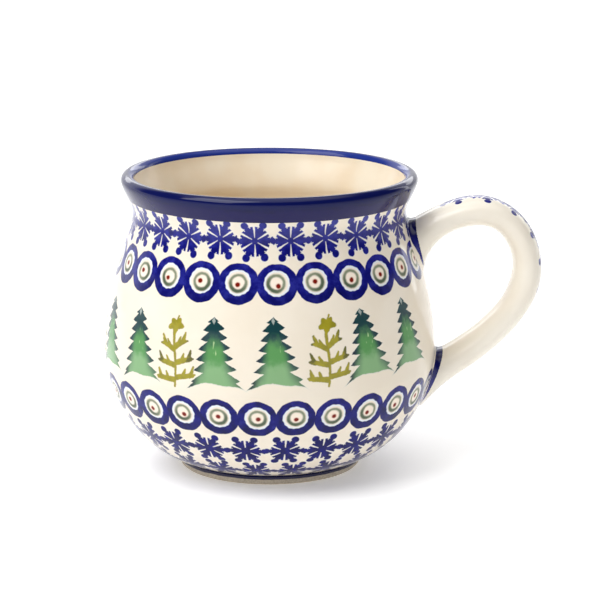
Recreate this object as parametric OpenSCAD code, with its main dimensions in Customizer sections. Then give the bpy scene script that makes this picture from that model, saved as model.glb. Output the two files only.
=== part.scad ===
// Stoneware mug with a round belly, a narrow neck and a flared, cobalt-banded rim.
// The pot and the loop handle are clay. Two slip joints stick the handle to the pot,
// and thin coats of glaze cover both. The foot ring is the only clay left bare.
// Z is up, the pot's axis is Z, the foot rests on Z = 0 and the handle points to +X.

/* [Pot] */
// Height from the foot to the top of the lip
pot_h = 90; // [84:1:96]
// Largest diameter of the lip
rim_d = 89.5; // [87:0.5:92]
// Diameter at the narrowest place of the neck
neck_d = 82.6; // [81:0.2:84]
// Height of the neck above the foot
neck_z = 78.4; // [76:0.2:79]
// Diameter of the belly
belly_d = 100.8; // [96:0.4:106]
// Height of the belly's widest place above the foot
belly_z = 34.6; // [32:0.2:38]
// Thickness of the fired wall with its glaze
wall_t = 4.4; // [4:0.1:5]
// Height of the cup's floor above the table
floor_z = 7.6; // [7:0.1:9]
// Radius of the cup's flat floor
floor_r = 14; // [10:0.5:18]

/* [Foot] */
// Outer diameter of the foot ring where it meets the pot
foot_d = 56.4; // [54:0.2:60]
// Height of the foot ring
foot_h = 3.1; // [2.6:0.1:3.4]
// Width of the foot ring
foot_w = 5; // [4:0.1:6]
// Chamfer along both edges of the ring's resting face
foot_chamfer = 0.7; // [0.3:0.1:0.9]

/* [Glaze] */
// Thickness of every glaze coat
glaze_t = 0.4; // [0.3:0.05:0.5]
// Height of the cobalt band below the lip, as a share of the flare
band_share = 0.5; // [0.4:0.05:0.6]

/* [Handle] */
// How far the glazed loop reaches from the pot's axis
reach_x = 82.4; // [80:0.2:86]
// Height of the glazed loop's top above the foot
crown_z = 82.4; // [81:0.2:84]
// Thickness of the glazed loop between its roots
loop_t = 8.7; // [8:0.1:9.5]
// Width of the glazed loop between its roots
loop_w = 15; // [13:0.5:17]
// How much wider the loop is on each side where it enters the pot
root_spread = 2.4; // [1.5:0.1:3]
// How far the slip collar spreads over the pot around each root
collar_spread = 1.8; // [1:0.1:2.5]
// Thickness of the slip between the loop's end and the pot
slip_t = 0.8; // [0.5:0.1:1.2]
// Height of the slip collar above the pot's clay
collar_h = 3; // [2:0.1:3.5]

/* [Hidden] */
$fn = 96;

// Colours of the clay, the glazes and the slip
clay_colour = [0.78, 0.72, 0.62];
slip_colour = [0.16, 0.18, 0.45];
cream_colour = [0.95, 0.93, 0.87];
cobalt_colour = [0.14, 0.15, 0.42];

// Steps along each long curve of the pot, the flare's curves, the lip and the loop's curves
curve_steps = 12;
flare_steps = 6;
lip_steps = 12;
loop_steps = 14;
// Sides of the loop's section
loop_sides = 28;
// Shape of the loop's section: 1 is an ellipse, less is squarer
section_power = 0.92;

// The lip is a half round whose chord leans with the flare.
lip_r = 2.1;
flare_lean = 14;
lip_centre = [rim_d / 2 - lip_r, pot_h - lip_r];

// Where the belly's curve leaves the foot
foot_edge = [foot_d / 2, foot_h];
foot_slope = 19;

// Tangent lengths that shape the outside, from the foot up
foot_pull = 18.2;
belly_pull_down = 5.6;
belly_pull_up = 21.7;
neck_pull_down = 6;
neck_pull_up = 2.2;
rim_pull = 2.4;

// Tangent lengths that shape the inside, from the lip down
inner_rim_pull = 3.4;
inner_neck_pull_up = 2.4;
inner_neck_pull_down = 7;
inner_belly_pull_up = 21;
inner_belly_pull_down = 19;
floor_pull = 20;

// Ends of the loop's path inside the pot, and the slopes that it leaves at
loop_root_up = [37, 58];
loop_root_low = [36, 22];
root_up_slope = 68;
root_low_slope = 23;
// Distance of the loop's top from the pot's axis, and height of its outermost place
crown_x = 62.7;
reach_z = 60.8;

// Tangent lengths that shape the loop, from the upper root to the lower one
root_up_pull = 16;
crown_pull_in = 7;
crown_pull_out = 10.3;
reach_pull_up = 7.5;
reach_pull_down = 20;
root_low_pull = 12;

// Extra half thickness of the loop's roots, the length of path inside the pot where it
// stays full, and the length that it fades over outside
upper_flare = 3.1;
lower_flare = 3.6;
root_depth = 8;
flare_run = 18;
// Distance from the axis at which each collar starts to thin, and where it is gone
upper_root_x = 45;
lower_root_x = 48;
collar_run = 7;

// ---- Curves ----

function polar(length, angle) = length * [cos(angle), sin(angle)];

function bezier_point(a, b, c, d, t) =
  pow(1 - t, 3) * a + 3 * pow(1 - t, 2) * t * b + 3 * (1 - t) * t * t * c + t * t * t * d;

// Points of a cubic curve from share t0 to share t1
function bezier(a, b, c, d, steps, t0 = 0, t1 = 1) =
  [for (i = [0:steps]) bezier_point(a, b, c, d, t0 + (t1 - t0) * i / steps)];

function without_first(list) = [for (i = [1:len(list) - 1]) list[i]];

function without_last(list) = [for (i = [0:len(list) - 2]) list[i]];

function reversed(list) = [for (i = [len(list) - 1:-1:0]) list[i]];

function unit(v) = v / norm(v);

// Direction of travel at point i of a line
function heading(line, i) = unit(line[min(i + 1, len(line) - 1)] - line[max(i - 1, 0)]);

// The same line moved to the left of its direction of travel
function moved_left(line, distance) =
  [for (i = [0:len(line) - 1]) line[i] + distance * [-heading(line, i)[1], heading(line, i)[0]]];

// ---- Lines of the pot's finished surface, from the foot up, over the lip and down inside ----

belly = [belly_d / 2, belly_z];
neck = [neck_d / 2, neck_z];
rim = lip_centre + polar(lip_r, -flare_lean);
inner_rim = lip_centre + polar(lip_r, 180 - flare_lean);
inner_neck = neck - [wall_t, 0];
inner_belly = belly - [wall_t, 0];
floor_edge = [floor_r, floor_z];

function belly_line() =
  bezier(foot_edge, foot_edge + polar(foot_pull, foot_slope),
    belly - [0, belly_pull_down], belly, curve_steps);

function shoulder_line() =
  bezier(belly, belly + [0, belly_pull_up],
    neck - [0, neck_pull_down], neck, curve_steps);

function flare_line(t0, t1, steps) =
  bezier(neck, neck + [0, neck_pull_up],
    rim - polar(rim_pull, 90 - flare_lean), rim, steps, t0, t1);

function lip_line() =
  [for (i = [0:lip_steps]) lip_centre + polar(lip_r, -flare_lean + 180 * i / lip_steps)];

function inner_flare_line() =
  bezier(inner_rim, inner_rim - polar(inner_rim_pull, 90 - flare_lean),
    inner_neck + [0, inner_neck_pull_up], inner_neck, flare_steps);

function inner_shoulder_line() =
  bezier(inner_neck, inner_neck - [0, inner_neck_pull_down],
    inner_belly + [0, inner_belly_pull_up], inner_belly, curve_steps);

function inner_bowl_line() =
  bezier(inner_belly, inner_belly - [0, inner_belly_pull_down],
    floor_edge + [floor_pull, 0], floor_edge, curve_steps);

function inner_wall_line() = concat(
  inner_flare_line(),
  without_first(inner_shoulder_line()),
  without_first(inner_bowl_line()),
  [[0, floor_z]]
);

white_line = concat(
  belly_line(),
  without_first(shoulder_line()),
  without_first(flare_line(0, band_share, flare_steps))
);
band_line = concat(flare_line(band_share, 1, flare_steps), without_first(lip_line()));
outside_line = concat(without_last(white_line), without_last(band_line));
whole_line = concat(outside_line, inner_wall_line());

// The clay's own surface is one coat deeper everywhere.
clay_line = moved_left(whole_line, glaze_t);
white_count = len(white_line);
outside_count = len(outside_line);

function part_of(line, first, last) = [for (i = [first:last]) line[i]];

// One stretch of coat between the finished surface and the clay
module coat(first, last) {
  rotate_extrude()
    polygon(concat(part_of(whole_line, first, last), reversed(part_of(clay_line, first, last))));
}

// Everything inside the pot's outer clay surface below the cobalt band, grown by a distance
module pot_envelope(grow) {
  line = moved_left(white_line, glaze_t - grow);
  rotate_extrude()
    polygon(concat([[0, line[0][1]]], line, [[0, line[white_count - 1][1]]]));
}

// ---- Path and section of the loop ----

loop_crown = [crown_x, crown_z - loop_t / 2];
loop_out = [reach_x - loop_t / 2, reach_z];

function rising_path() =
  bezier(loop_root_up, loop_root_up + polar(root_up_pull, root_up_slope),
    loop_crown - [crown_pull_in, 0], loop_crown, loop_steps);

function turning_path() =
  bezier(loop_crown, loop_crown + [crown_pull_out, 0], loop_out + [0, reach_pull_up], loop_out, loop_steps);

function falling_path() =
  bezier(loop_out, loop_out - [0, reach_pull_down],
    loop_root_low + polar(root_low_pull, root_low_slope), loop_root_low, loop_steps);

loop_path = concat(rising_path(), without_first(turning_path()), without_first(falling_path()));
path_count = len(loop_path);

function length_to(path, i) = i == 0 ? 0 : length_to(path, i - 1) + norm(path[i] - path[i - 1]);

loop_length = length_to(loop_path, path_count - 1);

// 1 inside the pot, fading to 0 over the flare's run
function fade(distance) = pow(max(0, 1 - max(0, distance - root_depth) / flare_run), 2);

function root_share_up(i) = fade(length_to(loop_path, i));
function root_share_low(i) = fade(loop_length - length_to(loop_path, i));

// Half sizes of the clay at ring i, under its glaze
function half_thickness(i) =
  loop_t / 2 - glaze_t + upper_flare * root_share_up(i) + lower_flare * root_share_low(i);

function half_width(i) =
  loop_w / 2 - glaze_t + root_spread * max(root_share_up(i), root_share_low(i));

// Extra size of a collar at ring i, full at the pot and down to the glaze past its run
function collar_growth(i, root_x) =
  glaze_t + collar_spread * pow(max(0, 1 - max(0, loop_path[i][0] - root_x) / collar_run), 2);

function squarer(x) = sign(x) * pow(abs(x), section_power);

function ring(i, grow) = [
  for (k = [0:loop_sides - 1])
    let(
      turn = 360 * k / loop_sides,
      along = heading(loop_path, i),
      out = (half_thickness(i) + grow) * squarer(cos(turn)),
      side = (half_width(i) + grow) * squarer(sin(turn))
    )
    [loop_path[i][0] - along[1] * out, side, loop_path[i][1] + along[0] * out]
];

// Joins a list of equal rings into one closed solid.
module skin(rings) {
  count = len(rings);
  sides = len(rings[0]);
  points = [for (r = rings) for (p = r) p];
  walls = [
    for (i = [0:count - 2], k = [0:sides - 1])
      let(a = i * sides + k, b = i * sides + (k + 1) % sides)
      each [[a, b, b + sides], [a, b + sides, a + sides]]
  ];
  start_cap = [for (k = [sides - 1:-1:0]) k];
  end_cap = [for (k = [0:sides - 1]) (count - 1) * sides + k];
  polyhedron(points = points, faces = concat(walls, [start_cap], [end_cap]), convexity = 6);
}

module loop(grow) {
  skin([for (i = [0:path_count - 1]) ring(i, grow)]);
}

// The stretch of loop between two rings, with the collar's spread
module collar(first, last, root_x) {
  skin([for (i = [first:last]) ring(i, collar_growth(i, root_x))]);
}

module upper_collar() {
  collar(0, loop_steps, upper_root_x);
}

module lower_collar() {
  collar(2 * loop_steps, path_count - 1, lower_root_x);
}

// ---- Clay ----

// The jiggered pot: wall, belly and floor
module pot_body() {
  color(clay_colour)
    rotate_extrude()
      polygon(concat([[0, foot_h], foot_edge], clay_line));
}

// The turned ring that the mug stands on
module foot_ring() {
  outer_r = foot_d / 2;
  inner_r = outer_r - foot_w;
  color(clay_colour)
    rotate_extrude()
      polygon([
        [inner_r, foot_h],
        [inner_r, foot_chamfer],
        [inner_r + foot_chamfer, 0],
        [outer_r - 2 * foot_chamfer, 0],
        [outer_r - foot_chamfer, foot_chamfer],
        [outer_r, foot_h]
      ]);
}

// The pressed loop, cut to the pot's curve one slip thickness away from it
module handle_loop() {
  color(clay_colour)
    difference() {
      loop(0);
      pot_envelope(slip_t);
    }
}

// The slip that sticks the loop's end to the pot, drawn out into a collar round it
module slip_joint() {
  color(slip_colour)
    difference() {
      intersection() {
        children();
        pot_envelope(collar_h);
      }
      pot_envelope(0);
      handle_loop();
    }
}

module upper_slip_joint() {
  slip_joint()
    upper_collar();
}

module lower_slip_joint() {
  slip_joint()
    lower_collar();
}

// ---- Glaze ----

// The clear coat over the stamped outside, open where the two collars pass through it
module outer_glaze() {
  color(cream_colour)
    difference() {
      coat(0, white_count - 1);
      upper_collar();
      lower_collar();
    }
}

// The cobalt band on the flare and over the lip
module rim_band_glaze() {
  color(cobalt_colour)
    coat(white_count - 1, outside_count);
}

// The coat inside the cup
module liner_glaze() {
  color(cream_colour)
    coat(outside_count, len(whole_line) - 1);
}

// The coat under the pot, inside the foot ring
module base_glaze() {
  color(cream_colour)
    translate([0, 0, foot_h - glaze_t])
      cylinder(r = foot_d / 2 - foot_w, h = glaze_t);
}

// The coat round the loop, from collar to collar
module handle_glaze() {
  color(cream_colour)
    difference() {
      loop(glaze_t);
      loop(0);
      pot_envelope(collar_h);
    }
}

pot_body();
foot_ring();
handle_loop();
upper_slip_joint();
lower_slip_joint();
outer_glaze();
rim_band_glaze();
liner_glaze();
base_glaze();
handle_glaze();
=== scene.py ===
"""The looks of a hand-stamped stoneware mug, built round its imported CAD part.

The frame is the CAD part's: metres, Z up, the mug's axis on Z, its foot on Z = 0, its handle
towards +X and its front towards -Y. The mug's lengths are in millimetres here until its meshes are
made. The studio's are in metres. Angles round the mug run from the front (0) towards the handle (90
degrees). A length along the outline, or arc, runs from the foot ring up the outside of the pot, over
the lip and down its inside.
"""

import math

import bmesh
import bpy
import numpy as np
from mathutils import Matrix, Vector


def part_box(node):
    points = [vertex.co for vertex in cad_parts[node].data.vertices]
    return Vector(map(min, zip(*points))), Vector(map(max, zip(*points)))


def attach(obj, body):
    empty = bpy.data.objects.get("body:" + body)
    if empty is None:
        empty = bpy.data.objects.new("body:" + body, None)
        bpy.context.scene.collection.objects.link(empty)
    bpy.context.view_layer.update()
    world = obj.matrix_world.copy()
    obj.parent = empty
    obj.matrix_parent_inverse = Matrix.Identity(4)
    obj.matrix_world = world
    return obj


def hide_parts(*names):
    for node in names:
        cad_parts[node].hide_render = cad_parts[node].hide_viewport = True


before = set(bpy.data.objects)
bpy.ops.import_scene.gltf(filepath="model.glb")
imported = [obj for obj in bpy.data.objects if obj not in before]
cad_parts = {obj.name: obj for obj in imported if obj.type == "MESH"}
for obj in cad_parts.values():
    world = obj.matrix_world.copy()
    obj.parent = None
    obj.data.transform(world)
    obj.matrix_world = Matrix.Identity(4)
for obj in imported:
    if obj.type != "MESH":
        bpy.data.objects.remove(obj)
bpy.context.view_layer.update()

MM = 0.001
BODY = "root"


# ---- Lines in a plane ----

def polar(length, degrees):
    """A vector in the plane, with a length and an angle in degrees from the first axis."""
    return length * np.array([math.cos(math.radians(degrees)), math.sin(math.radians(degrees))])


def bezier(a, b, c, d, steps=160):
    """Points of a cubic curve from a to d, drawn towards b and c on its way, both ends included."""
    t = np.linspace(0, 1, steps + 1)[:, None]
    return (1 - t) ** 3 * a + 3 * (1 - t) ** 2 * t * b + 3 * (1 - t) * t ** 2 * c + t ** 3 * d


def chained(*curves):
    """One line through curves that follow each other."""
    return np.concatenate([curves[0]] + [curve[1:] for curve in curves[1:]])


class Line:
    """A smooth line in a plane, looked up by the length along it."""

    def __init__(self, points):
        steps = np.linalg.norm(np.diff(points, axis=0), axis=1)
        self.length = np.concatenate([[0], np.cumsum(steps)])
        self.total = self.length[-1]
        self.points = points
        travel = np.gradient(points, self.length, axis=0)
        travel /= np.linalg.norm(travel, axis=1, keepdims=True)
        self.right = np.stack([travel[:, 1], -travel[:, 0]], axis=1)

    def lookup(self, table, length):
        """Both columns of a table that has a row for each point, read at a length between its rows."""
        return [np.interp(length, self.length, table[:, axis]) for axis in (0, 1)]

    def at(self, length):
        """The point at a length along the line, as two arrays."""
        return self.lookup(self.points, length)

    def side(self, length):
        """The direction to the right of the way the line runs, as two arrays."""
        return self.lookup(self.right, length)


# ---- The pot's outline, from the foot up, over the lip and down to the middle of the floor ----

GLAZE_T = 0.4
WALL_T = 4.4
LIP_R = 2.1
FLARE_LEAN = 14
FOOT_SLOPE = 19
BELLY_Z = 34.6
NECK_Z = 78.4
NECK_R = 41.3
FLOOR_R = 14

# How far each of the outline's curves is drawn straight on from its ends
FOOT_PULL = 18.2
BELLY_PULL_DOWN = 5.6
BELLY_PULL_UP = 21.7
NECK_PULL_DOWN = 6
NECK_PULL_UP = 2.2
RIM_PULL = 2.4
INNER_RIM_PULL = 3.4
INNER_NECK_PULL_UP = 2.4
INNER_NECK_PULL_DOWN = 7
INNER_BELLY_PULL_UP = 21
INNER_BELLY_PULL_DOWN = 19
FLOOR_PULL = 20

# How far the hand-finished surface strays: wide swells round the pot, and fine throwing rings
SWELL = 0.07
SECOND_SWELL = 0.05
RING_DEPTH = 0.022
SECOND_RING_DEPTH = 0.015
FADE_FROM_FOOT = 12
FADE_TO_FLOOR = 25

_, foot_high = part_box("foot_ring")
_, pot_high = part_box("outer_glaze")
lip_low, lip_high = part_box("rim_band_glaze")
liner_low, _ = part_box("liner_glaze")
FOOT_R = foot_high.x / MM
FOOT_H = foot_high.z / MM
BELLY_R = pot_high.y / MM
LIP_TOP = lip_high.z / MM
LIP_OUT = lip_high.x / MM
FLOOR_Z = liner_low.z / MM + GLAZE_T

foot_edge = np.array([FOOT_R, FOOT_H])
belly = np.array([BELLY_R, BELLY_Z])
neck = np.array([NECK_R, NECK_Z])
lip_centre = np.array([LIP_OUT - LIP_R, LIP_TOP - LIP_R])
rim = lip_centre + polar(LIP_R, -FLARE_LEAN)
inner_rim = lip_centre + polar(LIP_R, 180 - FLARE_LEAN)
inner_neck = neck - (WALL_T, 0)
inner_belly = belly - (WALL_T, 0)
floor_edge = np.array([FLOOR_R, FLOOR_Z])
flare_up = polar(1, 90 - FLARE_LEAN)


def lip_curve(steps=60):
    """The half round over the lip, from its outer side to its inner side."""
    angles = [180 * i / steps - FLARE_LEAN for i in range(steps + 1)]
    return np.array([lip_centre + polar(LIP_R, angle) for angle in angles])


outside = chained(
    bezier(foot_edge, foot_edge + polar(FOOT_PULL, FOOT_SLOPE), belly - (0, BELLY_PULL_DOWN), belly),
    bezier(belly, belly + (0, BELLY_PULL_UP), neck - (0, NECK_PULL_DOWN), neck),
    bezier(neck, neck + (0, NECK_PULL_UP), rim - RIM_PULL * flare_up, rim),
)
inside = chained(
    bezier(
        inner_rim,
        inner_rim - INNER_RIM_PULL * flare_up,
        inner_neck + (0, INNER_NECK_PULL_UP),
        inner_neck,
    ),
    bezier(
        inner_neck,
        inner_neck - (0, INNER_NECK_PULL_DOWN),
        inner_belly + (0, INNER_BELLY_PULL_UP),
        inner_belly,
    ),
    bezier(
        inner_belly,
        inner_belly - (0, INNER_BELLY_PULL_DOWN),
        floor_edge + (FLOOR_PULL, 0),
        floor_edge,
    ),
    np.linspace(floor_edge, (0, FLOOR_Z), 40),
)
WALL = Line(chained(outside, lip_curve(), inside))
LIP_START = Line(outside).total
LIP_END = LIP_START + Line(lip_curve()).total
outer_count = len(outside)
BAND_START = float(np.interp(lip_low.z / MM, outside[:, 1], WALL.length[:outer_count]))

# Lengths along the outline at which the stamped coat is parted, in the gaps between its rows
STAR_ROWS_END = 26.1
LOWER_EYES_END = 38.9
TREES_END = 65.6
UPPER_EYES_END = 78.15


def waver(theta, arc):
    """How far the hand-finished surface strays from true, in millimetres."""
    fade = np.clip(arc / FADE_FROM_FOOT, 0, 1) * np.clip((WALL.total - arc) / FADE_TO_FLOOR, 0, 1)
    swell = SWELL * np.sin(2 * theta + 0.7) + SECOND_SWELL * np.sin(3 * theta - 0.05 * arc)
    rings = RING_DEPTH * np.sin(0.9 * arc + 0.6 * np.sin(theta))
    rings = rings + SECOND_RING_DEPTH * np.sin(0.37 * arc + 2 * theta)
    return fade * (swell + rings)


def wall_points(theta, arc):
    """Points of the pot's finished surface."""
    radius, height = WALL.at(arc)
    out_r, out_z = WALL.side(arc)
    stray = waver(theta, arc)
    radius = radius + stray * out_r
    return np.stack([radius * np.sin(theta), -radius * np.cos(theta), height + stray * out_z], axis=-1)


def unit(vectors):
    """Vectors brought to a length of 1."""
    return vectors / np.linalg.norm(vectors, axis=-1, keepdims=True)


def wall_normals(theta, arc):
    """Directions straight out of the pot's finished surface."""
    across = wall_points(theta + 0.01, arc) - wall_points(theta - 0.01, arc)
    along = wall_points(theta, arc + 0.4) - wall_points(theta, arc - 0.4)
    return unit(np.cross(across, along))


# ---- Meshes ----

COLUMNS = 240
LIP_SPACING = 0.35

# Round pieces stop this far from the axis, and a small lid closes them
CENTRE_R = 0.5


def grid_faces(rows, columns, rows_wrap):
    """Quads between rows of points whose columns wrap round, with lids if the rows don't wrap."""
    faces = []
    for i in range(rows if rows_wrap else rows - 1):
        shift = ((i + 1) % rows) * columns - i * columns
        for k in range(columns):
            a = i * columns + k
            b = i * columns + (k + 1) % columns
            faces.append((a, b, b + shift, a + shift))
    if not rows_wrap:
        faces.append(tuple(range(columns)))
        faces.append(tuple(range((rows - 1) * columns, rows * columns)))
    return faces


def add_piece(name, points, rows_wrap, material, replaced, fields=None, normals=None):
    """Makes a closed piece of the mug from a grid of points in millimetres.

    Each field is a number for every point, which the material can read. Normals of 0 are left to
    Blender.
    """
    rows, columns = points.shape[:2]
    mesh = bpy.data.meshes.new(name)
    mesh.from_pydata(points.reshape(-1, 3) * MM, [], grid_faces(rows, columns, rows_wrap))
    work = bmesh.new()
    work.from_mesh(mesh)
    bmesh.ops.recalc_face_normals(work, faces=work.faces)
    work.to_mesh(mesh)
    work.free()
    mesh.shade_smooth()
    for field, values in (fields or {}).items():
        layer = mesh.attributes.new(field, "FLOAT", "POINT")
        layer.data.foreach_set("value", np.ascontiguousarray(values, np.float32).ravel())
    if normals is not None:
        mesh.normals_split_custom_set_from_vertices(normals.reshape(-1, 3))
    mesh.materials.append(material)
    piece = bpy.data.objects.new(name, mesh)
    bpy.context.scene.collection.objects.link(piece)
    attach(piece, BODY)
    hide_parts(replaced)
    return piece


def coat_grid(start, end, spacing=1.0):
    """The finished surface between two lengths along the outline: lengths, points and normals."""
    rows = max(3, round((end - start) / spacing) + 1)
    theta, arc = np.meshgrid(
        np.linspace(-math.pi, math.pi, COLUMNS, endpoint=False),
        np.linspace(start, end, rows),
    )
    return arc, wall_points(theta, arc), wall_normals(theta, arc)


def add_coat(name, start, end, material, replaced, spacing=1.0):
    """One stretch of glaze round the pot, a closed skin as thick as the coat."""
    arc, outer, normals = coat_grid(start, end, spacing)
    inner = outer - GLAZE_T * normals
    return add_piece(
        name,
        np.concatenate([outer, inner[::-1]]),
        True,
        material,
        replaced,
        {"arc": np.concatenate([arc, arc[::-1]])},
        np.concatenate([normals, 0 * normals]),
    )


def add_liner(material):
    """The coat inside the cup, from the lip to the middle of the floor."""
    arc, finished, normals = coat_grid(LIP_END, WALL.total - CENTRE_R)
    under = finished - GLAZE_T * normals
    return add_piece(
        "cup_liner",
        np.concatenate([finished[::-1], under]),
        False,
        material,
        "liner_glaze",
        {"arc": np.concatenate([arc[::-1], arc])},
        np.concatenate([normals[::-1], 0 * normals]),
    )


def turned(outline):
    """A grid of points made by turning an outline of radii and heights round the axis."""
    theta = np.linspace(-math.pi, math.pi, COLUMNS, endpoint=False)
    radius, height = np.array(outline).T
    return np.stack(
        [
            radius[:, None] * np.sin(theta),
            -radius[:, None] * np.cos(theta),
            np.repeat(height[:, None], COLUMNS, axis=1),
        ],
        axis=-1,
    )


def rounded(corner, before, after, radius, steps=4):
    """A corner of an outline, cut by a curve that starts and ends a radius away from it."""
    start = corner + radius * unit(np.subtract(before, corner))
    end = corner + radius * unit(np.subtract(after, corner))
    t = np.linspace(0, 1, steps + 1)[:, None]
    return (1 - t) ** 2 * start + 2 * t * (1 - t) * corner + t ** 2 * end


FOOT_CHAMFER = 0.7
FOOT_SOFTNESS = 0.3
BASE_ROLL_W = 0.6
BASE_ROLL_H = 0.4

base_low, base_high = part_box("base_glaze")
BASE_R = base_high.x / MM
BASE_Z = base_low.z / MM
BASE_TOP = base_high.z / MM


def add_foot_ring(material):
    """The turned ring that the mug stands on, its edges softened by the sponge."""
    corners = np.array([
        (BASE_R, FOOT_H),
        (BASE_R, FOOT_CHAMFER),
        (BASE_R + FOOT_CHAMFER, 0),
        (FOOT_R - 2 * FOOT_CHAMFER, 0),
        (FOOT_R - FOOT_CHAMFER, FOOT_CHAMFER),
        (FOOT_R, FOOT_H),
    ])
    outline = [corners[0]]
    for i in range(1, 5):
        outline.extend(rounded(corners[i], corners[i - 1], corners[i + 1], FOOT_SOFTNESS))
    outline.extend([0.5 * (corners[4] + corners[5]), corners[5]])
    points = turned(outline)
    return add_piece("turned_foot_ring", points, True, material, "foot_ring")


def add_base(material):
    """The glazed recess under the mug, its glaze drawn down a little where it meets the foot ring."""
    outline = [(CENTRE_R, BASE_Z)]
    for share in np.linspace(0.1, 0.94, 18):
        outline.append((share * BASE_R, BASE_Z))
    for inward, drawn in ((1.0, 0.15), (0.25, 0.875), (0.0, 1.0)):
        outline.append((BASE_R - inward * BASE_ROLL_W, BASE_Z - drawn * BASE_ROLL_H))
    outline.extend([(BASE_R, BASE_TOP), (CENTRE_R, BASE_TOP)])
    return add_piece("base_recess", turned(outline), False, material, "base_glaze")


# ---- The handle ----

_, handle_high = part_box("handle_glaze")
LOOP_T = 8.7
LOOP_W = 15
ROOT_SPREAD = 2.4
UPPER_FLARE = 3.1
LOWER_FLARE = 3.6
ROOT_DEPTH = 8
FLARE_RUN = 18
SECTION_POWER = 0.92
CROWN_X = 62.7
REACH_Z = 60.8

# How far each of the loop's curves is drawn straight on from its ends, and how its roots slope
ROOT_UP_SLOPE = 68
ROOT_UP_PULL = 16
CROWN_PULL_IN = 7
CROWN_PULL_OUT = 10.3
REACH_PULL_UP = 7.5
REACH_PULL_DOWN = 20
ROOT_LOW_SLOPE = 23
ROOT_LOW_PULL = 12

# How finely the handle and the fillets at its joints are cut
LOOP_COLUMNS = 48
LOOP_ROWS = 150
COLLAR_COLUMNS = 96
COLLAR_ROWS = 13

# How the handle strays from true, and how deep in the wall its ends stop
LOOP_SWELL = 0.08
SECOND_LOOP_SWELL = 0.05
END_DEPTH = 0.8

# The joints' fillets: how far their edges are sunk, and how far their hidden edge lies in the corner
SUNK = 0.22
HEART_IN = 1.5
HEART_ASIDE = 1.2

root_up = np.array([37, 58])
root_low = np.array([36, 22])
crown = np.array([CROWN_X, handle_high.z / MM - LOOP_T / 2])
reach = np.array([handle_high.x / MM - LOOP_T / 2, REACH_Z])
LOOP = Line(chained(
    bezier(root_up, root_up + polar(ROOT_UP_PULL, ROOT_UP_SLOPE), crown - (CROWN_PULL_IN, 0), crown),
    bezier(crown, crown + (CROWN_PULL_OUT, 0), reach + (0, REACH_PULL_UP), reach),
    bezier(
        reach,
        reach - (0, REACH_PULL_DOWN),
        root_low + polar(ROOT_LOW_PULL, ROOT_LOW_SLOPE),
        root_low,
    ),
))


def squarer(x):
    """A sine or cosine pushed outwards, so that the section it draws is a little less round."""
    return np.sign(x) * np.abs(x) ** SECTION_POWER


def root_fade(distance):
    """1 inside the pot, fading to 0 where the flare of the handle's end is over."""
    return np.clip(1 - np.clip(distance - ROOT_DEPTH, 0, None) / FLARE_RUN, 0, 1) ** 2


def loop_points(turn, length, grow=0.0):
    """Points of the glazed handle: turn is 0 on its outer side, and length runs from the upper root."""
    x, z = LOOP.at(length)
    right_x, right_z = LOOP.side(length)
    fade_up = root_fade(length)
    fade_low = root_fade(LOOP.total - length)
    stray = LOOP_SWELL * np.sin(0.23 * length + 2 * turn) + SECOND_LOOP_SWELL * np.sin(0.41 * length)
    thick = LOOP_T / 2 + UPPER_FLARE * fade_up + LOWER_FLARE * fade_low + grow + stray
    wide = LOOP_W / 2 + ROOT_SPREAD * np.maximum(fade_up, fade_low) + grow + stray
    out = thick * squarer(np.cos(turn))
    return np.stack([x - right_x * out, wide * squarer(np.sin(turn)), z - right_z * out], axis=-1)


def outer_run(length):
    """How far a length of the handle lies along the middle of its outer side."""
    lengths = np.linspace(0, LOOP.total, 600)
    steps = np.linalg.norm(np.diff(loop_points(0.0, lengths), axis=0), axis=1)
    return np.interp(length, lengths, np.concatenate([[0], np.cumsum(steps)]))


def clearance(points):
    """How far points stand outside the pot, measured level."""
    pot_radius = np.interp(points[..., 2], outside[:, 1], outside[:, 0])
    return np.hypot(points[..., 0], points[..., 1]) - pot_radius


def crossing(turn, from_below, depth=0.0):
    """The lengths of the handle at which its surface goes into the pot to some depth."""
    half = np.linspace(0, LOOP.total / 2, 3000)
    length = (LOOP.total - half if from_below else half)[:, None]
    inside_pot = clearance(loop_points(turn[None, :], length)) < -depth
    last = len(half) - 1 - np.argmax(inside_pot[::-1], axis=0)
    return length[last, 0]


def add_handle(material):
    """The glazed loop, from wall to wall, with its ends cut to the pot's curve inside the wall."""
    turn = np.linspace(-math.pi, math.pi, LOOP_COLUMNS, endpoint=False)
    start = crossing(turn, False, END_DEPTH)
    end = crossing(turn, True, END_DEPTH)
    share = np.linspace(0, 1, LOOP_ROWS)[:, None]
    length = start * (1 - share) + end * share
    points = loop_points(turn, length)
    spine = LOOP_COLUMNS // 2
    steps = np.linalg.norm(np.diff(points, axis=1), axis=2)
    walked = np.concatenate([np.zeros((LOOP_ROWS, 1)), np.cumsum(steps, axis=1)], axis=1)
    side = walked - walked[:, spine:spine + 1]
    return add_piece(
        "glazed_handle",
        points,
        False,
        material,
        "handle_glaze",
        {"along": outer_run(length), "side": side, "away": np.abs(side)},
    )


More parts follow.
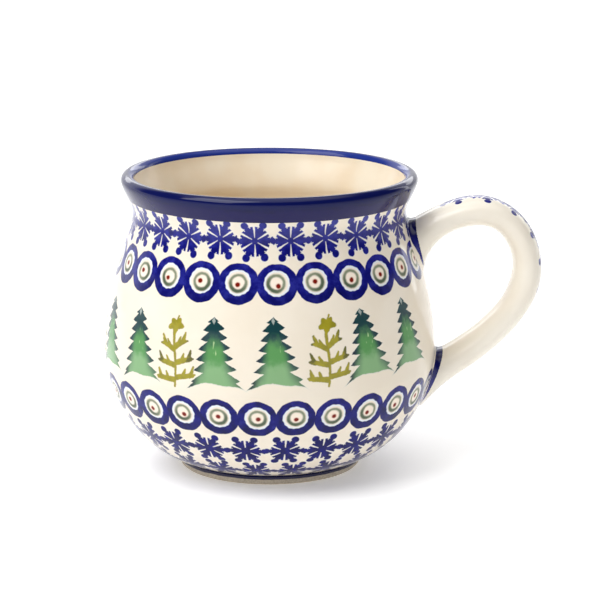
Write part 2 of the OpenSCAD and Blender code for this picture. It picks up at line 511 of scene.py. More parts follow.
def add_collar(name, from_below, climb, spread, material, replaced):
    """The wiped fillet of slip and glaze round one end of the handle.

    It climbs the handle by one length and spreads over the pot by another. Its rows curve from the
    pot to the handle, and a last row, its heart, is hidden in the corner behind them.
    """
    turn = np.linspace(-math.pi, math.pi, COLLAR_COLUMNS, endpoint=False)
    meet = crossing(turn, from_below)
    corner = loop_points(turn, meet)
    on_handle = loop_points(turn, meet + (-climb if from_below else climb), -SUNK)
    theta = np.arctan2(corner[:, 0], -corner[:, 1])
    arc = np.interp(corner[:, 2], outside[:, 1], WALL.length[:outer_count])
    radius = np.hypot(corner[:, 0], corner[:, 1]).mean()
    flat = np.stack([radius * theta, arc], axis=1)
    along = np.roll(flat, -2, axis=0) - np.roll(flat, 2, axis=0)
    outward = unit(np.stack([along[:, 1], -along[:, 0]], axis=1))
    middle = flat.mean(axis=0)
    if np.sum(outward * (flat - middle)) < 0:
        outward = -outward
    flat = flat + spread * outward
    on_wall = wall_points(flat[:, 0] / radius, flat[:, 1])
    on_wall = on_wall - SUNK * wall_normals(flat[:, 0] / radius, flat[:, 1])
    heart = corner - HEART_IN * wall_normals(theta, arc)
    heart = heart + HEART_ASIDE * unit(corner.mean(axis=0) - corner)
    t = np.linspace(0, 1, COLLAR_ROWS)[:, None, None]
    fillet = (1 - t) ** 2 * on_wall + 2 * t * (1 - t) * corner + t ** 2 * on_handle
    heart_across = np.full((1, COLLAR_COLUMNS), 0.5)
    across = np.concatenate([np.repeat(t[:, 0], COLLAR_COLUMNS, axis=1), heart_across])
    around = np.repeat(np.degrees(np.abs(turn))[None, :], COLLAR_ROWS + 1, axis=0)
    return add_piece(
        name,
        np.concatenate([fillet, heart[None]]),
        True,
        material,
        replaced,
        {"across": across, "around": around},
    )


# ---- Numbers and colours at every point of a surface, as shader nodes ----

class Field:
    """A number at every point of a surface, held as the output of a node."""

    def __init__(self, socket):
        self.socket = socket

    def __add__(self, other):
        return calc("ADD", self, other)

    def __sub__(self, other):
        return calc("SUBTRACT", self, other)

    def __mul__(self, other):
        return calc("MULTIPLY", self, other)

    def __truediv__(self, other):
        return calc("DIVIDE", self, other)

    def __pow__(self, other):
        return calc("POWER", self, other)

    def __neg__(self):
        return calc("MULTIPLY", self, -1.0)

    def __abs__(self):
        return calc("ABSOLUTE", self)

    def __rsub__(self, other):
        return calc("SUBTRACT", other, self)


def feed(socket, value):
    """Gives a node's input a field, a colour or a plain number."""
    if isinstance(value, Field):
        socket.id_data.links.new(value.socket, socket)
    else:
        socket.default_value = value


def calc(operation, *terms):
    """One step of arithmetic on fields and numbers."""
    tree = next(term.socket.id_data for term in terms if isinstance(term, Field))
    node = tree.nodes.new("ShaderNodeMath")
    node.operation = operation
    for socket, term in zip(node.inputs, terms):
        feed(socket, term)
    return Field(node.outputs[0])


def lower(*terms):
    """The lowest of some fields and numbers, the first of them a field."""
    result = terms[0]
    for term in terms[1:]:
        result = calc("MINIMUM", result, term)
    return result


def higher(*terms):
    """The highest of some fields and numbers, the first of them a field."""
    result = terms[0]
    for term in terms[1:]:
        result = calc("MAXIMUM", result, term)
    return result


def hypot(x, y):
    """How far a place is from where x and y are both 0."""
    return calc("SQRT", x * x + y * y)


def step(value, start, end):
    """0 at start and 1 at end, eased, whichever of the two is larger."""
    node = value.socket.id_data.nodes.new("ShaderNodeMapRange")
    node.interpolation_type = "SMOOTHSTEP"
    feed(node.inputs["Value"], value)
    feed(node.inputs["From Min"], start)
    feed(node.inputs["From Max"], end)
    return Field(node.outputs["Result"])


def blend(below, above, share):
    """A colour laid over another by a share from 0 to 1."""
    tree = share.socket.id_data
    node = tree.nodes.new("ShaderNodeMix")
    node.data_type = "RGBA"
    feed(node.inputs[0], share)
    feed(node.inputs[6], below)
    feed(node.inputs[7], above)
    return Field(node.outputs[2])


def colour(red, green, blue):
    """A colour given as it looks on a screen, from 0 to 255."""
    def linear(value):
        share = value / 255
        return share / 12.92 if share <= 0.04045 else ((share + 0.055) / 1.055) ** 2.4
    return (linear(red), linear(green), linear(blue), 1.0)


def rotated(x, y, angle):
    """Coordinates turned by an angle in radians."""
    c = calc("COSINE", angle)
    s = calc("SINE", angle)
    return x * c + y * s, y * c - x * s


def limb(x, y, start, end, half_width, half_tip=None):
    """Distance outside a straight stroke between two places, which may taper to its end."""
    run = (end[0] - start[0], end[1] - start[1])
    square = run[0] ** 2 + run[1] ** 2
    dx = x - start[0]
    dy = y - start[1]
    share = lower(higher((dx * run[0] + dy * run[1]) / square, 0.0), 1.0)
    away = hypot(dx - share * run[0], dy - share * run[1])
    tip = half_width if half_tip is None else half_tip
    return away - (share * (tip - half_width) + half_width)


class Surface:
    """What a material's nodes know about the place that they colour, in millimetres and degrees."""

    def __init__(self, name):
        self.material = bpy.data.materials.new(name)
        self.material.use_nodes = True
        self.tree = self.material.node_tree
        self.shader = self.tree.nodes["Principled BSDF"]
        self.place = self.tree.nodes.new("ShaderNodeTexCoord").outputs["Object"]
        split = self.tree.nodes.new("ShaderNodeSeparateXYZ")
        self.tree.links.new(self.place, split.inputs[0])
        x, y, z = (Field(socket) * (1 / MM) for socket in split.outputs)
        self.x = x
        self.y = y
        self.z = z
        self.radius = hypot(x, y)
        self.theta = calc("ARCTAN2", x, -y) * (180 / math.pi)
        self.theta_from_handle = self.theta - calc("GREATER_THAN", self.theta, 90.0) * 360.0

    def field(self, name):
        """A value that the mesh holds for each of its points."""
        node = self.tree.nodes.new("ShaderNodeAttribute")
        node.attribute_name = name
        return Field(node.outputs["Fac"])

    def noise(self, size, detail=2.0, stretch=(1, 1, 1)):
        """A node of smooth noise with features of a size in millimetres, stretched along the axes."""
        mapping = self.tree.nodes.new("ShaderNodeMapping")
        self.tree.links.new(self.place, mapping.inputs["Vector"])
        mapping.inputs["Scale"].default_value = stretch
        node = self.tree.nodes.new("ShaderNodeTexNoise")
        self.tree.links.new(mapping.outputs[0], node.inputs["Vector"])
        node.inputs["Scale"].default_value = 1 / (size * MM)
        node.inputs["Detail"].default_value = detail
        return node

    def cloud(self, size, detail=2.0, stretch=(1, 1, 1)):
        """Smooth noise from 0 to 1, most of it near 0.5."""
        return Field(self.noise(size, detail, stretch).outputs["Fac"])

    def tremble(self, size, amount, detail=2.0):
        """Two small offsets in millimetres, for edges drawn by hand and bled into the glaze."""
        split = self.tree.nodes.new("ShaderNodeSeparateColor")
        self.tree.links.new(self.noise(size, detail).outputs["Color"], split.inputs[0])
        return [(Field(socket) - 0.5) * (2 * amount) for socket in split.outputs[:2]]

    def chance(self, key, seed):
        """Three random numbers from 0 to 1 that belong to a whole number."""
        node = self.tree.nodes.new("ShaderNodeTexWhiteNoise")
        node.noise_dimensions = "1D"
        feed(node.inputs["W"], key + seed)
        split = self.tree.nodes.new("ShaderNodeSeparateColor")
        self.tree.links.new(node.outputs["Color"], split.inputs[0])
        return [Field(socket) for socket in split.outputs]

    def specks(self, spacing, size):
        """1 on small rare specks of iron in the clay."""
        node = self.tree.nodes.new("ShaderNodeTexVoronoi")
        self.tree.links.new(self.place, node.inputs["Vector"])
        node.inputs["Scale"].default_value = 1 / (spacing * MM)
        return step(Field(node.outputs["Distance"]), size / spacing, 0.3 * size / spacing)

    def bump(self, height, depth):
        """Raises the surface by a field times a depth in millimetres."""
        node = self.tree.nodes.new("ShaderNodeBump")
        node.inputs["Distance"].default_value = depth * MM
        feed(node.inputs["Height"], height)
        self.tree.links.new(node.outputs["Normal"], self.shader.inputs["Normal"])

    def finish(self, base, roughness, ior=1.5):
        """Gives the shader its colour, roughness and index of refraction, and returns the material."""
        feed(self.shader.inputs["Base Color"], base)
        feed(self.shader.inputs["Roughness"], roughness)
        self.shader.inputs["IOR"].default_value = ior
        return self.material


# ---- Stamps and brush strokes ----

IVORY = colour(238, 228, 211)
IVORY_WARM = colour(233, 221, 201)
# The handle's ivory: the same glaze as the pot's, painted lighter as painted light on the handle
PAINTED_LIGHT_IVORY = colour(241, 234, 220)
PAINTED_LIGHT_IVORY_WARM = colour(236, 227, 211)
IRON = colour(150, 110, 70)
COBALT = colour(16, 18, 112)
COBALT_THIN = colour(46, 50, 150)
COBALT_THICK = colour(8, 9, 66)
HALO = colour(226, 231, 238)
MOSS = colour(100, 116, 86)
MOSS_DARK = colour(46, 70, 50)
BLUSH = colour(246, 232, 216)
RED = colour(118, 26, 16)
RED_THIN = colour(206, 110, 78)
TEAL = colour(14, 52, 64)
NAVY = colour(16, 30, 50)
GREEN = colour(84, 146, 80)
PALE_GREEN = colour(128, 171, 120)
PAINTED_SHEEN = colour(190, 220, 160)
# Painted highlight: the pale vertical marks drawn down the middle of the firs
FROST = colour(206, 214, 206)
OLIVE = colour(156, 146, 20)
OLIVE_DARK = colour(70, 72, 22)
LIP_VIOLET = colour(22, 18, 76)
LIP_GREY = colour(12, 14, 20)
LIP_BLUE = colour(8, 16, 74)
LIP_BLUE_THIN = colour(34, 52, 136)
CREAM = colour(249, 238, 217)
CREAM_POOLED = colour(242, 224, 196)
FOOT_CLAY = colour(208, 197, 180)
FOOT_CLAY_DARK = colour(178, 165, 145)
CLAY = colour(206, 192, 168)
CLAY_DARK = colour(180, 164, 140)
TABLE = colour(247, 247, 248)
TABLE_PALE = colour(250, 250, 250)
WHITE = (1, 1, 1, 1)


STAMP_BLEED = 0.13


def covered(distance, bleed):
    """1 inside an outline, 0 outside, with an edge as soft as the pigment bled."""
    return step(distance, bleed, -bleed)


# Two firs and a sprig make a group. The groups are counted back from the near side of the handle.
# Their row leans: it is level at one angle, and rises by some millimetres a quarter turn further on.
GROUPS = 6
GROUP_PITCH = 53.0
GROUP_RISE = 1.5
GROUP_LEVEL_AT = -4.0


class Row:
    """A row of stamps round the mug: the place within the nearest stamp, and its own chances.

    The phase is where one stamp stands and the pitch is the step to the next, in degrees. The arc is
    the row's length along the outline. By chance each stamp is shifted by up to some millimetres and
    twisted by up to some degrees. The trembled offsets waver its edges. A grouped row is that of the
    firs or the sprigs, which leaves a gap under the handle.
    """

    def __init__(self, surface, phase, pitch, arc, seed, shift, twist, trembled, grouped=False):
        up = surface.field("arc") - arc
        if grouped:
            position = (surface.theta_from_handle - phase) / pitch
            number = higher(lower(calc("ROUND", position), 0.0), 1.0 - GROUPS)
            up = up - calc("SINE", (surface.theta - GROUP_LEVEL_AT) * (math.pi / 180)) * GROUP_RISE
        else:
            position = (surface.theta - phase) / pitch
            number = calc("ROUND", position)
        key = calc("FLOORED_MODULO", number, round(360 / pitch))
        chances = surface.chance(key, seed)
        across = (position - number) * pitch * (math.pi / 180) * surface.radius
        across = across + (chances[0] - 0.5) * (2 * shift) + trembled[0]
        up = up + (chances[1] - 0.5) * (2 * shift) + trembled[1]
        self.x, self.y = rotated(across, up, (chances[2] - 0.5) * (2 * math.radians(twist)))
        self.chances = surface.chance(key, seed + 50.5)


STAR_LEAF_L = 4.75
STAR_NECK_R = 0.6
STAR_BALL_AT = 5.5
STAR_BALL_R = 1.15
STAR_HEART_R = 0.8


def snowflake(x, y, size=1.0, heart_r=STAR_HEART_R):
    """Distance outside a six-armed stamp: broad notched arms parted by slits, each ending in a ball.

    The heart's radius is how far out the arms are joined.
    """
    out = hypot(x, y) / size
    angle = calc("ARCTAN2", y, x) * (180 / math.pi)
    fold = abs(angle - calc("ROUND", angle / 60) * 60.0) * (math.pi / 180)
    along = out * calc("COSINE", fold)
    aside = out * calc("SINE", fold)
    slit = aside * 0.866 - along * 0.42
    tip_notch = -limb(along, aside, (4.0, 0.95), (4.9, 1.25), 0.1, 0.26)
    side_notch = 0.27 - hypot(along - 3.1, aside - 1.75)
    leaf = higher(slit, along + aside * 0.35 - STAR_LEAF_L, tip_notch, side_notch)
    neck_bar = limb(along, aside, (2.5, 0.0), (4.8, 0.0), STAR_NECK_R)
    ball = hypot(along - STAR_BALL_AT, aside) - STAR_BALL_R
    heart = out - heart_r
    return lower(leaf, neck_bar, ball, heart) * size


def cobalt(surface, load=0.0):
    """Cobalt pigment, thick and thin in patches, and thicker all over with a larger load."""
    patches = surface.cloud(2.4, 3) - load
    thin = step(patches, 0.42, 0.7) * 0.65
    thick = step(patches, 0.45, 0.2) * 0.7
    return blend(blend(COBALT, COBALT_THIN, thin), COBALT_THICK, thick)


def ground(surface, plain=IVORY, warm=IVORY_WARM):
    """The ivory glaze between the stamps, a little warmer in clouds, with rare specks of iron."""
    base = blend(plain, warm, step(surface.cloud(14, 3), 0.35, 0.7) * 0.6)
    return blend(base, IRON, surface.specks(17, 0.28) * 0.5)


def halo(base, distance):
    """Lays the pale, bluish fringe round a cobalt stamp over a colour."""
    return blend(base, HALO, covered(distance - 0.25, 0.35) * 0.4)


def paint_snowflakes(
    surface, base, pigment, phase, count, arc, seed, size, heart_r, tall=1.0, thin=0.0
):
    """Lays a row of snowflakes over a colour.

    Each is stretched upwards by the factor tall. The share thin is how much paler its upper half is.
    """
    row = Row(surface, phase, 360 / count, arc, seed, 0.15, 3, surface.tremble(0.9, 0.1))
    distance = snowflake(row.x, row.y / tall, size, heart_r)
    inked = blend(pigment, COBALT_THIN, step(row.y, -1.0, 4.5) * thin)
    return blend(halo(base, distance), inked, covered(distance, STAMP_BLEED))


EYE_HOLE_R = 3.75
EYE_RING_R = 2.3
EYE_RING_HALF_W = 0.42
EYE_DOT_R = 0.64
EYE_OFF_CENTRE = 0.3


def paint_eyes(surface, base, pigment, phase, count, arc, seed, outer_r):
    """Lays a row of peacock eyes over a colour: cobalt disc, pale hole, mossy ring and red dot.

    The hole and the ring stand a little above the disc's centre. The ring is heavier towards its
    foot, and it and the dot are pressed a little off the centre by chance.
    """
    row = Row(surface, phase, 360 / count, arc, seed, 0.12, 20, surface.tremble(1.6, 0.22, 3))
    out = hypot(row.x, row.y)
    angle = calc("ARCTAN2", row.y, row.x)
    facets = calc("COSINE", angle * 9.0) * 0.05
    disc = covered(out - outer_r + facets, 0.12)
    sunk = step(row.y + surface.cloud(2.0, 2) * 4.0, 1.5, -3.5) * 0.45
    hole_out = hypot(row.x, row.y - 0.35)
    teeth = calc("COSINE", angle * 14.0) * 0.05 + calc("COSINE", angle * 5.0) * 0.06
    hole = covered(hole_out - EYE_HOLE_R + teeth, 0.14)
    inner_x = row.x + (row.chances[0] - 0.5) * 0.5
    inner_y = row.y - EYE_OFF_CENTRE + (row.chances[1] - 0.5) * 0.5
    inner = hypot(inner_x, inner_y)
    lean = calc("ARCTAN2", inner_y, inner_x) + row.chances[2] * 2.0 - 1.0
    heavy = step(calc("SINE", lean), 0.6, -1.0)
    ring_half_width = heavy * 0.15 + EYE_RING_HALF_W
    ring = covered(abs(inner - EYE_RING_R) - ring_half_width, 0.34) * (heavy * 0.08 + 0.88)
    dot_x = row.x + row.chances[1] - 0.5
    dot_y = row.y + (row.chances[2] - 0.5) * 0.9
    dot = hypot(dot_x, dot_y)
    base = blend(base, blend(pigment, COBALT_THICK, sunk), disc)
    base = blend(base, blend(HALO, IVORY, step(hole_out, EYE_HOLE_R - 0.25, EYE_HOLE_R - 0.75)), hole)
    base = blend(base, BLUSH, covered(inner - EYE_RING_R + 0.3, 0.5) * 0.8)
    base = blend(base, blend(MOSS, MOSS_DARK, heavy * 0.75), ring)
    base = blend(base, RED_THIN, covered(dot - 1.25 * EYE_DOT_R, 0.25) * 0.6)
    return blend(base, RED, covered(dot - EYE_DOT_R, 0.16))


FIR_LEAN = 0.1
FIR_DROOP = 0.15
FIR_FOOT = 19.4


def tree_tiers(depth, offset, notch, hook):
    """How far the tiers of branches stick out, from 0 in a notch to 1 at a tip; lower ones are taller.

    The offset moves them up by a share of a tier. The notch is the share of a tier that its
    underside takes. A larger hook bends the tips upwards.
    """
    count = (calc("SQRT", depth * 0.28 + 5.76) - 2.4) / 0.14 - offset
    phase = calc("FLOORED_MODULO", count, 1.0)
    under = 1.0 - (phase / notch) ** 1.4
    over = higher((phase - notch) / (1.0 - notch), 0.0) ** hook
    return higher(under, over)


def paint_tree(surface, base, phase, seed):
    """Lays a row of leaning firs over a colour, dark at the top and the tips and pale at the foot.

    Depth is measured down from a fir's top. The pale marks down their middles are painted highlights.
    """
    row = Row(surface, phase, GROUP_PITCH, 62.6, seed, 0.2, 2.5, surface.tremble(1.1, 0.25, 3), True)
    depth = higher(-row.y, 0.0)
    x = row.x - depth * FIR_LEAN
    right = step(x, -0.1, 0.1)
    hung = higher(depth - abs(x) * FIR_DROOP, 0.0)
    tiers = tree_tiers(hung, 0.0, 0.5, 1.1) * right + tree_tiers(hung, 0.4, 0.3, 0.85) * (1.0 - right)
    reach_out = depth * 0.28 + 2.3
    notch = depth * 0.18 + 0.75
    tail = (depth - 17.3) * 1.15 + 4.4
    half_width = lower(higher(notch + (reach_out - notch) * tiers, tail), depth * 1.2)
    foot_line = x * x * 0.021 + calc("SINE", x * 0.6 + row.chances[0]) * 0.3 + FIR_FOOT
    distance = higher(abs(x) - half_width, depth - foot_line, row.y)
    share = abs(x) / reach_out
    wash = depth + surface.cloud(2.2, 2) * 4.0
    body_colour = blend(PALE_GREEN, GREEN, step(wash, 17.5, 14.0))
    crown_dark = step(wash, 12.0, 6.5)
    lobe_dark = step(share, 0.3, 0.8) * step(wash, 24.0, 14.0)
    tail_tip = step(abs(x), 6.6, 8.4) * step(depth, 18.0, 19.5)
    heavy_side = step(x, 8.0, -5.0) * 0.5 + 0.5
    tip_dark = higher(step(share, 0.6, 0.95) * heavy_side, tail_tip)
    body_colour = blend(body_colour, TEAL, lower(crown_dark + lobe_dark, 1.0) * 0.95)
    body_colour = blend(body_colour, NAVY, tip_dark * 0.9)
    # Painted highlight: thin pale vertical marks in the middle of each fir, for small reflections in
    # the glaze
    sheen_marks = step(surface.cloud(0.7, 1, (1, 1, 0.22)), 0.62, 0.74) * step(abs(x - 1.0), 2.2, 1.0)
    body_colour = blend(body_colour, PAINTED_SHEEN, sheen_marks * step(abs(depth - 9.0), 3.5, 1.5) * 0.7)
    apex = covered(abs(x + 0.1) * 2.0 + abs(depth - 1.1) - 1.1, 0.35)
    body_colour = blend(body_colour, FROST, apex * 0.55)
    base = blend(base, FROST, covered(distance - 0.2, 0.3) * 0.45)
    return blend(base, body_colour, covered(distance, 0.14))


# A sprig's pairs of twigs: how high each starts, how far it reaches and how far it rises
TWIG_PAIRS = ((2.3, 5.9, 0.7), (6.6, 5.3, 1.3), (11.2, 3.5, 1.9))

# The twiglets on each twig: how far along it each starts, and how far it runs aside and up
TWIGLETS = ((0.42, 0.8, 2.1), (0.86, 0.9, 2.6), (0.8, 1.8, 0.3))


def paint_sprig(surface, base, phase, seed):
    """Lays a row of olive sprigs over a colour: a stalk, pairs of forked twigs and a blossom."""
    row = Row(surface, phase, GROUP_PITCH, 41.4, seed, 0.2, 3, surface.tremble(0.9, 0.25, 3), True)
    x = row.x - calc("SINE", row.y * 0.3) * 0.35
    right = step(x, -0.05, 0.05)
    y = row.y - (right - 0.5) * 0.8
    aside = abs(x)
    strokes = [limb(x, row.y, (0, 0), (0, 16.5), 0.36, 0.5)]
    for height, reach_out, rise in TWIG_PAIRS:
        strokes.append(limb(aside, y, (0.0, height), (reach_out, height + rise), 0.92, 0.66))
        for share, run_aside, run_up in TWIGLETS:
            start = (share * reach_out, height + share * rise)
            end = (start[0] + run_aside, start[1] + run_up)
            strokes.append(limb(aside, y, start, end, 0.78, 0.32))
    bloom_x = x - 0.4
    bloom_y = row.y - 18.0
    petals = calc("COSINE", calc("ARCTAN2", bloom_y, bloom_x) * 5.0 + 1.2) * 0.35
    bloom = hypot(bloom_x * 0.74, bloom_y) - 1.85 - petals
    calyx = limb(x, row.y, (0.0, 15.0), (0.3, 17.4), 0.35, 1.1)
    stamen = limb(x, row.y, (0.5, 19.0), (0.9, 20.6), 0.28)
    distance = lower(*strokes, bloom, calyx, stamen)
    patches = step(surface.cloud(1.6, 2), 0.35, 0.7)
    tips = step(aside + patches * 1.2, 4.0, 5.8) * step(row.y, 5.0, 8.0)
    pigment = blend(OLIVE, OLIVE_DARK, lower(patches * 0.35 + tips, 1.0) * 0.85)
    return blend(base, pigment, covered(distance, 0.16) * 0.98)


# ---- Materials ----

GLOSS = 0.07
LINER_GLOSS = 0.22
RIPPLE = 0.05
GLAZE_IOR = 1.38

# The lip, and the rows that face the white table, keep their cobalt dark with weaker reflections
LIP_IOR = 1.33
LOWER_EYES_IOR = 1.3
LOWER_STARS_IOR = 1.28


def glazed(surface, base, gloss=GLOSS, ior=GLAZE_IOR):
    """Finishes a surface as clear gloss over a colour, with the faint ripple of fired glaze."""
    ripples = surface.cloud(5, 2) + surface.cloud(1.4, 1) * 0.12
    surface.bump(ripples, RIPPLE)
    roughness = step(surface.cloud(9, 3), 0.2, 0.8) * 0.05 + (gloss - 0.02)
    return surface.finish(base, roughness, ior)


def lower_star_material():
    """Two rows of snowflakes above the line round the foot."""
    surface = Surface("stamped_glaze_lower_stars")
    base = ground(surface)
    pigment = cobalt(surface, 0.2)
    for phase, count, arc, seed, size, heart_r in (
        (5.6, 24, 19.7, 3.5, 1.0, 1.6),
        (-6.5, 21, 8.3, 9.5, 0.95, 1.9),
    ):
        base = paint_snowflakes(surface, base, pigment, phase, count, arc, seed, size, heart_r)
    line = covered(surface.field("arc") + surface.tremble(6, 0.3)[0] - 1.4, 0.15)
    return glazed(surface, blend(base, COBALT_THICK, line), ior=LOWER_STARS_IOR)


def lower_eye_material():
    """The lower row of peacock eyes."""
    surface = Surface("stamped_glaze_lower_eyes")
    pigment = cobalt(surface, 0.12)
    base = paint_eyes(surface, ground(surface), pigment, -4.5, 27, 32.0, 17.5, 6.0)
    return glazed(surface, base, ior=LOWER_EYES_IOR)


def tree_material():
    """Six groups of two firs and a sprig, with the place under the handle left blank."""
    surface = Surface("stamped_glaze_trees")
    base = paint_sprig(surface, ground(surface), 20.0, 5.5)
    base = paint_tree(surface, base, 33.3, 11.5)
    base = paint_tree(surface, base, 54.0, 14.5)
    return glazed(surface, base)


def upper_eye_material():
    """The upper row of peacock eyes."""
    surface = Surface("stamped_glaze_upper_eyes")
    base = paint_eyes(surface, ground(surface), cobalt(surface), 2.7, 25, 71.95, 23.5, 6.05)
    return glazed(surface, base)


def upper_star_material():
    """The row of snowflakes that runs up under the cobalt band."""
    surface = Surface("stamped_glaze_upper_stars")
    base = paint_snowflakes(
        surface,
        ground(surface),
        cobalt(surface),
        phase=-5.8,
        count=25,
        arc=84.6,
        seed=31.5,
        size=0.98,
        heart_r=1.0,
        tall=1.04,
        thin=0.3,
    )
    return glazed(surface, base)


def lip_material():
    """Cobalt brushed over the flare and the lip: violet below, nearly grey above, blue on the lip."""
    surface = Surface("cobalt_glaze")
    height = surface.field("arc") - BAND_START
    brushed = surface.cloud(7, 3, (1, 1, 5))
    uneven = height + (brushed - 0.5) * 5.0
    base = blend(LIP_VIOLET, LIP_GREY, step(uneven, 3.2, 6.5) * 0.9)
    past_rim = height - (LIP_START - BAND_START)
    base = blend(base, LIP_BLUE, step(past_rim, -2.0, 0.5))
    base = blend(base, LIP_BLUE_THIN, step(past_rim, 3.6, 5.2))
    return glazed(surface, base, ior=LIP_IOR)


def liner_material():
    """Plain cream glaze, pooled a little darker in clouds."""
    surface = Surface("cream_glaze")
    base = blend(CREAM, CREAM_POOLED, step(surface.cloud(18, 3), 0.3, 0.7))
    return glazed(surface, base, LINER_GLOSS)


def foot_material():
    """Sponged bare stoneware, grey-brown from the kiln."""
    surface = Surface("bare_clay")
    grain = surface.cloud(0.5, 4)
    base = blend(FOOT_CLAY, FOOT_CLAY_DARK, step(grain, 0.3, 0.75))
    line = covered(FOOT_H - surface.z - 1.25 + surface.tremble(6, 0.25)[0], 0.15)
    surface.bump(grain, 0.06)
    return surface.finish(blend(base, COBALT_THICK, line), 0.85 - line * 0.7)


HANDLE_STARS = 6
HANDLE_STAR_SIZE = 0.97
HANDLE_STAR_PITCH = 9.1
HANDLE_STAR_START = 35.0
HANDLE_STARS_HALF_W = 9.0


def handle_material():
    """Ivory glaze with a short row of snowflakes along the outer side of the loop."""
    surface = Surface("handle_glaze")
    trembled = surface.tremble(0.9, 0.12)
    position = (surface.field("along") - HANDLE_STAR_START) / HANDLE_STAR_PITCH
    number = higher(lower(calc("ROUND", position), HANDLE_STARS - 1.0), 0.0)
    run = (position - number) * HANDLE_STAR_PITCH + trembled[0]
    bow = (number - 2.7) * (number - 2.7) * 0.22 + 0.3
    aside = surface.field("side") + trembled[1] - bow
    past_edge = surface.field("away") - HANDLE_STARS_HALF_W
    distance = higher(snowflake(aside, run, HANDLE_STAR_SIZE), past_edge)
    # Painted light: the handle's ground is a lighter ivory than the pot's, for the light that falls on
    # it
    base = halo(ground(surface, PAINTED_LIGHT_IVORY, PAINTED_LIGHT_IVORY_WARM), distance)
    return glazed(surface, blend(base, cobalt(surface), covered(distance, STAMP_BLEED)))


COLLAR_WIDTH = 6.2


def paint_stroke(surface, base, pigment, centre, half_width):
    """Lays a brush stroke along a joint, its centre anywhere from 0 at the pot to 1 at the handle."""
    across = (surface.field("across") - centre) * COLLAR_WIDTH + surface.tremble(1.5, 0.25)[0]
    return blend(base, pigment, covered(abs(across) - half_width, 0.14))


def upper_joint_material():
    """A stroke laid over the top of the joint, that thins to a point down both of its sides."""
    surface = Surface("painted_slip_upper")
    around = surface.field("around")
    centre = step(around, 30, 110) * 0.22 + 0.5
    half_width = 2.2 - step(around, 65, 115) * 1.6 - step(around, 160, 180) * 0.8
    pigment = blend(cobalt(surface), COBALT_THICK, step(around, 110, 50) * 0.8)
    base = paint_stroke(surface, ground(surface), pigment, centre, half_width)
    return glazed(surface, base)


def lower_joint_material():
    """A broad stroke down both sides of the joint, with a thinner strand beside it towards the pot."""
    surface = Surface("painted_slip_lower")
    around = surface.field("around")
    pigment = blend(cobalt(surface), COBALT_THICK, step(around, 60, 120) * 0.8)
    half_width = step(around, 40, 115) * 0.75 + step(around, 120, 165) * 0.35
    half_width = half_width - step(around, 30, 8) * 1.3 + 1.1
    base = paint_stroke(surface, ground(surface), pigment, 0.62, half_width)
    strand = 0.5 - step(around, 95, 120) * 0.8 - step(around, 32, 15) * 0.8
    return glazed(surface, paint_stroke(surface, base, pigment, 0.26, strand))


def clay_material():
    """The fired body under the glaze."""
    surface = Surface("clay")
    grain = surface.cloud(0.6, 4)
    base = blend(CLAY, CLAY_DARK, step(grain, 0.3, 0.75))
    surface.bump(grain, 0.05)
    return surface.finish(base, 0.9)


# ---- Build ----

def add_stamped_coat():
    """The outer coat, as a band for each row of stamps."""
    bands = (
        ("lower_star_band", 0, STAR_ROWS_END, lower_star_material),
        ("lower_eye_band", STAR_ROWS_END, LOWER_EYES_END, lower_eye_material),
        ("tree_band", LOWER_EYES_END, TREES_END, tree_material),
        ("upper_eye_band", TREES_END, UPPER_EYES_END, upper_eye_material),
        ("upper_star_band", UPPER_EYES_END, BAND_START, upper_star_material),
    )
    for name, start, end, make_material in bands:
        add_coat(name, start, end, make_material(), "outer_glaze")


def dress_clay():
    """Gives the two pieces of clay that stay as CAD made them their material."""
    clay = clay_material()
    for node in ("pot_body", "handle_loop"):
        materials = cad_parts[node].data.materials
        materials.clear()
        materials.append(clay)


add_stamped_coat()
cobalt_lip = lip_material()
add_coat("cobalt_lip", BAND_START, LIP_END, cobalt_lip, "rim_band_glaze", LIP_SPACING)
cream = liner_material()
add_liner(cream)
add_base(cream)
add_foot_ring(foot_material())
add_handle(handle_material())
add_collar("upper_joint_fillet", False, 3.8, 2.2, upper_joint_material(), "upper_slip_joint")
add_collar("lower_joint_fillet", True, 3.9, 2.4, lower_joint_material(), "lower_slip_joint")
dress_clay()


# ---- Studio ----

TABLE_HALF = 30.0
TABLE_GLOW = 0.28
TENT_LIGHT = 1.12
TENT_SLANT = 0.28
TENT_DIMMING = 0.93
OVERHEAD_LIGHT = 0.6
CAMERA_DISTANCE = 0.8418
CAMERA_ELEVATION = 13.3
CAMERA_LENS = 165.96
CAMERA_CENTRE = (0, 0, 0.045)
CAMERA_TARGET = (0.00919, 0, 0.05038)


def add_floor():
    """A wide pale table top, with a faint glow that keeps it white."""
    corners = [(x * TABLE_HALF, y * TABLE_HALF, 0) for x, y in ((-1, -1), (1, -1), (1, 1), (-1, 1))]
    mesh = bpy.data.meshes.new("table_top")
    mesh.from_pydata(corners, [], [(0, 1, 2, 3)])
    surface = Surface("table_top")
    base = blend(TABLE, TABLE_PALE, surface.cloud(60, 2))
    surface.shader.inputs["Emission Color"].default_value = WHITE
    surface.shader.inputs["Emission Strength"].default_value = TABLE_GLOW
    mesh.materials.append(surface.finish(base, 0.6))
    table = bpy.data.objects.new("table_top", mesh)
    bpy.context.scene.collection.objects.link(table)


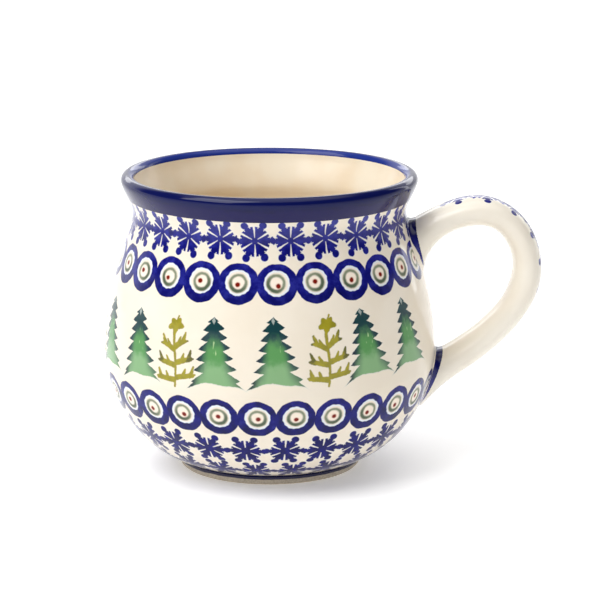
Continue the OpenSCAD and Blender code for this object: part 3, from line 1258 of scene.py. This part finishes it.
def add_light(name, place, target, size, watts):
    """A rectangular soft light that stands in one place and faces another, in metres."""
    light = bpy.data.lights.new(name, "AREA")
    light.shape = "RECTANGLE"
    light.size, light.size_y = size
    light.energy = watts
    holder = bpy.data.objects.new(name, light)
    holder.location = place
    holder.rotation_euler = (Vector(target) - Vector(place)).to_track_quat("-Z", "Y").to_euler()
    bpy.context.scene.collection.objects.link(holder)


def add_world():
    """A white tent, brighter on the left. Above the horizon it is dim, except behind and overhead."""
    world = bpy.data.worlds.new("studio")
    bpy.context.scene.world = world
    world.use_nodes = True
    tree = world.node_tree
    direction = tree.nodes.new("ShaderNodeTexCoord").outputs["Generated"]
    split = tree.nodes.new("ShaderNodeSeparateXYZ")
    tree.links.new(direction, split.inputs[0])
    x, y, z = (Field(socket) for socket in split.outputs)
    overhead = step(z, 0.75, 0.92)
    camera_side = step(z * 0.3 - y * 0.95, -0.6, -0.3)
    dim = camera_side * step(z, 0.07, 0.2) * (1.0 - overhead)
    strength = (TENT_LIGHT - x * TENT_SLANT) * (1.0 - dim * TENT_DIMMING) + overhead * OVERHEAD_LIGHT
    background = tree.nodes["Background"]
    background.inputs["Color"].default_value = WHITE
    feed(background.inputs["Strength"], strength)


def add_camera():
    """A long lens that looks down at the mug from in front, a little past its axis."""
    elevation = math.radians(CAMERA_ELEVATION)
    camera = bpy.data.objects.new("camera", bpy.data.cameras.new("camera"))
    camera.data.sensor_width = 36
    camera.data.lens = CAMERA_LENS
    towards_camera = Vector((0, -math.cos(elevation), math.sin(elevation)))
    camera.location = Vector(CAMERA_CENTRE) + CAMERA_DISTANCE * towards_camera
    view = Vector(CAMERA_TARGET) - camera.location
    camera.rotation_euler = view.to_track_quat("-Z", "Y").to_euler()
    bpy.context.scene.collection.objects.link(camera)
    bpy.context.scene.camera = camera


add_floor()
add_world()
add_light("key_softbox", (-0.55, -0.38, 0.92), (0, 0, 0.04), (0.8, 0.8), 9)
add_light("back_softbox", (0.1, 1.1, 0.45), (0, 0, 0.09), (1.6, 0.2), 2)
add_light("side_strip", (0.47, 0.37, 0.25), (0, 0, 0.08), (0.08, 0.45), 0.2)
add_camera()
bpy.context.scene.view_settings.view_transform = "Standard"
